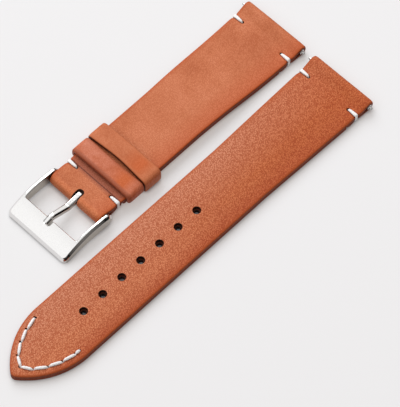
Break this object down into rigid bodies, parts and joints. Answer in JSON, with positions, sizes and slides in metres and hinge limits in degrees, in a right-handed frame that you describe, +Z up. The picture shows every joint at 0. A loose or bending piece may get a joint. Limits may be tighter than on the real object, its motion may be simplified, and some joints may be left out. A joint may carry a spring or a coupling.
{
  "type": "watch strap",
  "caption": "Tan leather watch strap in a short and a long piece, with a steel pin buckle, a fixed and a sliding keeper, spring bars and white stitching.",
  "frame": {"origin": "the middle of the footprint of both pieces, on the table they lie on", "axes": "+X along both pieces to the ends that meet the watch, +Y from the long piece to the short piece, +Z up from the table"},
  "size_m": [0.1164, 0.0452, 0.005],
  "materials": {
    "tan_leather": "smooth aniline calf, satin, fine pores, burnished edges",
    "lining_leather": "matt undyed lining leather",
    "white_thread": "waxed twisted sewing thread",
    "polished_steel": "polished stainless steel",
    "bar_steel": "drawn stainless steel tube and turned pins",
    "spring_steel": "bright drawn spring wire"
  },
  "bodies": {
    "short_strap": {"short_outer_leather": "tan_leather", "short_lining": "lining_leather", "short_lug_stitches": "white_thread", "short_buckle_stitches": "white_thread", "fixed_keeper": "tan_leather", "short_bar_tube": "bar_steel", "short_bar_spring": "spring_steel"},
    "buckle": {"buckle_frame": "polished_steel", "buckle_bar_tube": "bar_steel", "buckle_bar_spring": "spring_steel"},
    "tongue": {"buckle_tongue": "polished_steel"},
    "sliding_keeper": {"floating_keeper": "tan_leather"},
    "long_strap": {"long_outer_leather": "tan_leather", "long_lining": "lining_leather", "long_tip_stitch": "white_thread", "long_lug_stitches": "white_thread", "long_bar_tube": "bar_steel", "long_bar_spring": "spring_steel"},
    "long_bar_left_pin": {"long_bar_pin_left": "bar_steel"},
    "long_bar_right_pin": {"long_bar_pin_right": "bar_steel"},
    "short_bar_left_pin": {"short_bar_pin_left": "bar_steel"},
    "short_bar_right_pin": {"short_bar_pin_right": "bar_steel"},
    "buckle_bar_left_pin": {"buckle_bar_pin_left": "bar_steel"},
    "buckle_bar_right_pin": {"buckle_bar_pin_right": "bar_steel"}
  },
  "joints": [
    {"name": "buckle_swing", "type": "hinge", "parent": "short_strap", "child": "buckle", "pos_m": [-0.01282, 0.01167, 0.00203], "axis": [0, 1, 0], "range_deg": [-90, 25]},
    {"name": "tongue_swing", "type": "hinge", "parent": "buckle", "child": "tongue", "pos_m": [-0.01282, 0.01167, 0.00203], "axis": [0, 1, 0], "range_deg": [0, 65]},
    {"name": "keeper_slide", "type": "slide", "parent": "short_strap", "child": "sliding_keeper", "axis": [1, 0, 0], "range_m": [0, 0.016]},
    {"name": "long_piece_lift", "type": "slide", "parent": "short_strap", "child": "long_strap", "axis": [0, 0, 1], "range_m": [0, 0.04]},
    {"name": "long_bar_left_press", "type": "slide", "parent": "long_strap", "child": "long_bar_left_pin", "axis": [0, -1, 0], "range_m": [0, 0.0012], "stiffness_N_per_m": 1500, "springref_m": -0.0005, "deforming": ["long_bar_spring"]},
    {"name": "long_bar_right_press", "type": "slide", "parent": "long_strap", "child": "long_bar_right_pin", "axis": [0, 1, 0], "range_m": [0, 0.0012], "stiffness_N_per_m": 1500, "springref_m": -0.0005, "deforming": ["long_bar_spring"]},
    {"name": "short_bar_left_press", "type": "slide", "parent": "short_strap", "child": "short_bar_left_pin", "axis": [0, -1, 0], "range_m": [0, 0.0012], "stiffness_N_per_m": 1500, "springref_m": -0.0005, "deforming": ["short_bar_spring"]},
    {"name": "short_bar_right_press", "type": "slide", "parent": "short_strap", "child": "short_bar_right_pin", "axis": [0, 1, 0], "range_m": [0, 0.0012], "stiffness_N_per_m": 1500, "springref_m": -0.0005, "deforming": ["short_bar_spring"]},
    {"name": "buckle_bar_left_press", "type": "slide", "parent": "buckle", "child": "buckle_bar_left_pin", "axis": [0, -1, 0], "range_m": [0, 0.0012], "stiffness_N_per_m": 1500, "springref_m": -0.0005, "deforming": ["buckle_bar_spring"]},
    {"name": "buckle_bar_right_press", "type": "slide", "parent": "buckle", "child": "buckle_bar_right_pin", "axis": [0, 1, 0], "range_m": [0, 0.0012], "stiffness_N_per_m": 1500, "springref_m": -0.0005, "deforming": ["buckle_bar_spring"]}
  ]
}
